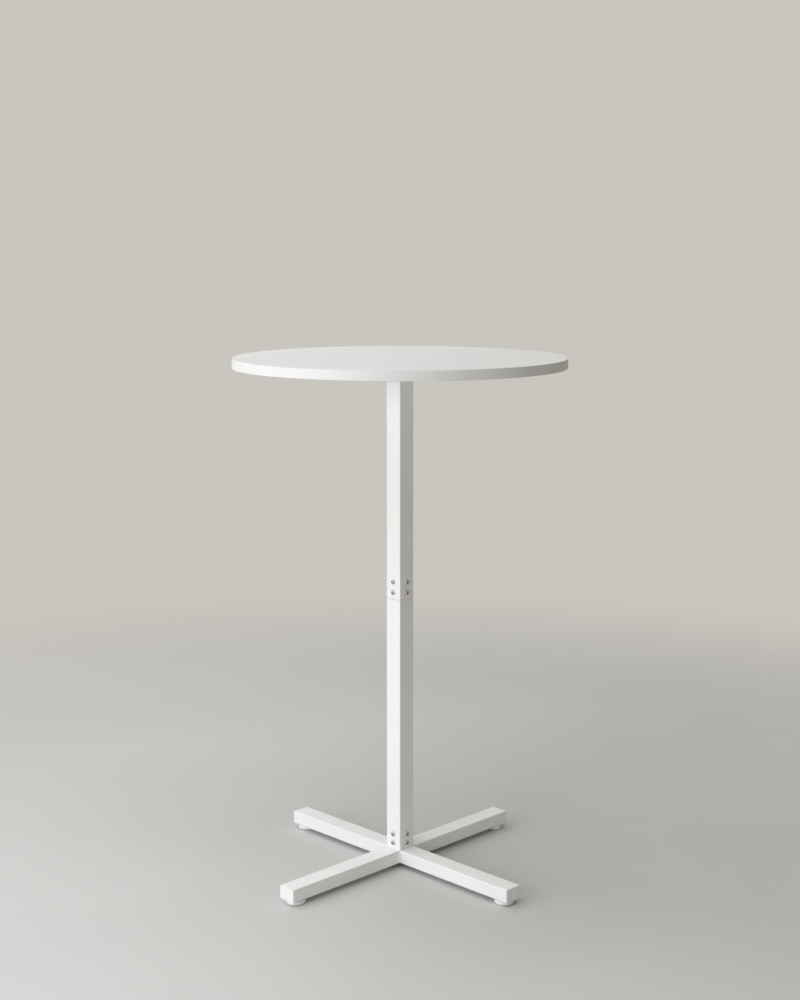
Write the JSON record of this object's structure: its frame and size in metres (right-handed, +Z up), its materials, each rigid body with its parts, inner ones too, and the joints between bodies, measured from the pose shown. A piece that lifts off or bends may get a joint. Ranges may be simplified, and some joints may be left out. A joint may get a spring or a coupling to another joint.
{
  "type": "bar table",
  "caption": "Tall bar table with a thin round white top on a slim square steel post in bolted lengths, on a cross base of flat tube arms with levelling feet.",
  "frame": {"origin": "on the floor, on the axis of the post", "axes": "+Z up, X and Y along the arms of the base"},
  "size_m": [0.7, 0.7, 1.0827],
  "materials": {
    "white_laminate": "satin high-pressure laminate",
    "white_edge": "satin",
    "board": "pressed board",
    "brass": "machined",
    "white_powder_coat": "satin powder coat",
    "bare_steel": "zinc plated",
    "screw_steel": "bright zinc plated",
    "zinc_steel": "zinc plated",
    "white_plastic": "moulded, fine satin",
    "grey_sole": "matt"
  },
  "bodies": {
    "frame": {"top_laminate": "white_laminate", "bottom_laminate": "white_laminate", "edge_band": "white_edge", "top_core": "board", "top_inserts": "brass", "top_plate": "white_powder_coat", "top_plate_weld": "white_powder_coat", "upper_post": "white_powder_coat", "lower_post": "white_powder_coat", "mid_plug_welds": "white_powder_coat", "base_corner_welds": "white_powder_coat", "base_under_weld": "white_powder_coat", "arm_front_right": "white_powder_coat", "arm_rear_right": "white_powder_coat", "arm_rear_left": "white_powder_coat", "arm_front_left": "white_powder_coat", "mid_spigot": "bare_steel", "base_spigot": "bare_steel", "top_screws": "screw_steel", "mid_screws": "screw_steel", "base_screws": "screw_steel", "foot_nuts": "zinc_steel", "end_plug_front_right": "white_plastic", "end_plug_rear_right": "white_plastic", "end_plug_rear_left": "white_plastic", "end_plug_front_left": "white_plastic"},
    "sole_front_right": {"foot_sole_front_right": "grey_sole"},
    "foot_front_right": {"foot_pad_front_right": "white_plastic", "foot_stem_front_right": "zinc_steel"},
    "sole_rear_right": {"foot_sole_rear_right": "grey_sole"},
    "foot_rear_right": {"foot_pad_rear_right": "white_plastic", "foot_stem_rear_right": "zinc_steel"},
    "sole_rear_left": {"foot_sole_rear_left": "grey_sole"},
    "foot_rear_left": {"foot_pad_rear_left": "white_plastic", "foot_stem_rear_left": "zinc_steel"},
    "sole_front_left": {"foot_sole_front_left": "grey_sole"},
    "foot_front_left": {"foot_pad_front_left": "white_plastic", "foot_stem_front_left": "zinc_steel"}
  },
  "joints": [
    {"name": "height_front_right", "type": "slide", "parent": "frame", "child": "sole_front_right", "axis": [0, 0, -1], "range_m": [0, 0.01]},
    {"name": "turn_front_right", "type": "hinge", "parent": "sole_front_right", "child": "foot_front_right", "pos_m": [0.296, 0, 0], "axis": [0, 0, -1], "range_deg": [0, 2880]},
    {"name": "height_rear_right", "type": "slide", "parent": "frame", "child": "sole_rear_right", "axis": [0, 0, -1], "range_m": [0, 0.01]},
    {"name": "turn_rear_right", "type": "hinge", "parent": "sole_rear_right", "child": "foot_rear_right", "pos_m": [0, 0.296, 0], "axis": [0, 0, -1], "range_deg": [0, 2880]},
    {"name": "height_rear_left", "type": "slide", "parent": "frame", "child": "sole_rear_left", "axis": [0, 0, -1], "range_m": [0, 0.01]},
    {"name": "turn_rear_left", "type": "hinge", "parent": "sole_rear_left", "child": "foot_rear_left", "pos_m": [-0.296, 0, 0], "axis": [0, 0, -1], "range_deg": [0, 2880]},
    {"name": "height_front_left", "type": "slide", "parent": "frame", "child": "sole_front_left", "axis": [0, 0, -1], "range_m": [0, 0.01]},
    {"name": "turn_front_left", "type": "hinge", "parent": "sole_front_left", "child": "foot_front_left", "pos_m": [0, -0.296, 0], "axis": [0, 0, -1], "range_deg": [0, 2880]}
  ],
  "couplings": [
    {"joint": "height_front_right", "follows": "turn_front_right", "m_per_rad": 0.00019894},
    {"joint": "height_rear_right", "follows": "turn_rear_right", "m_per_rad": 0.00019894},
    {"joint": "height_rear_left", "follows": "turn_rear_left", "m_per_rad": 0.00019894},
    {"joint": "height_front_left", "follows": "turn_front_left", "m_per_rad": 0.00019894}
  ]
}
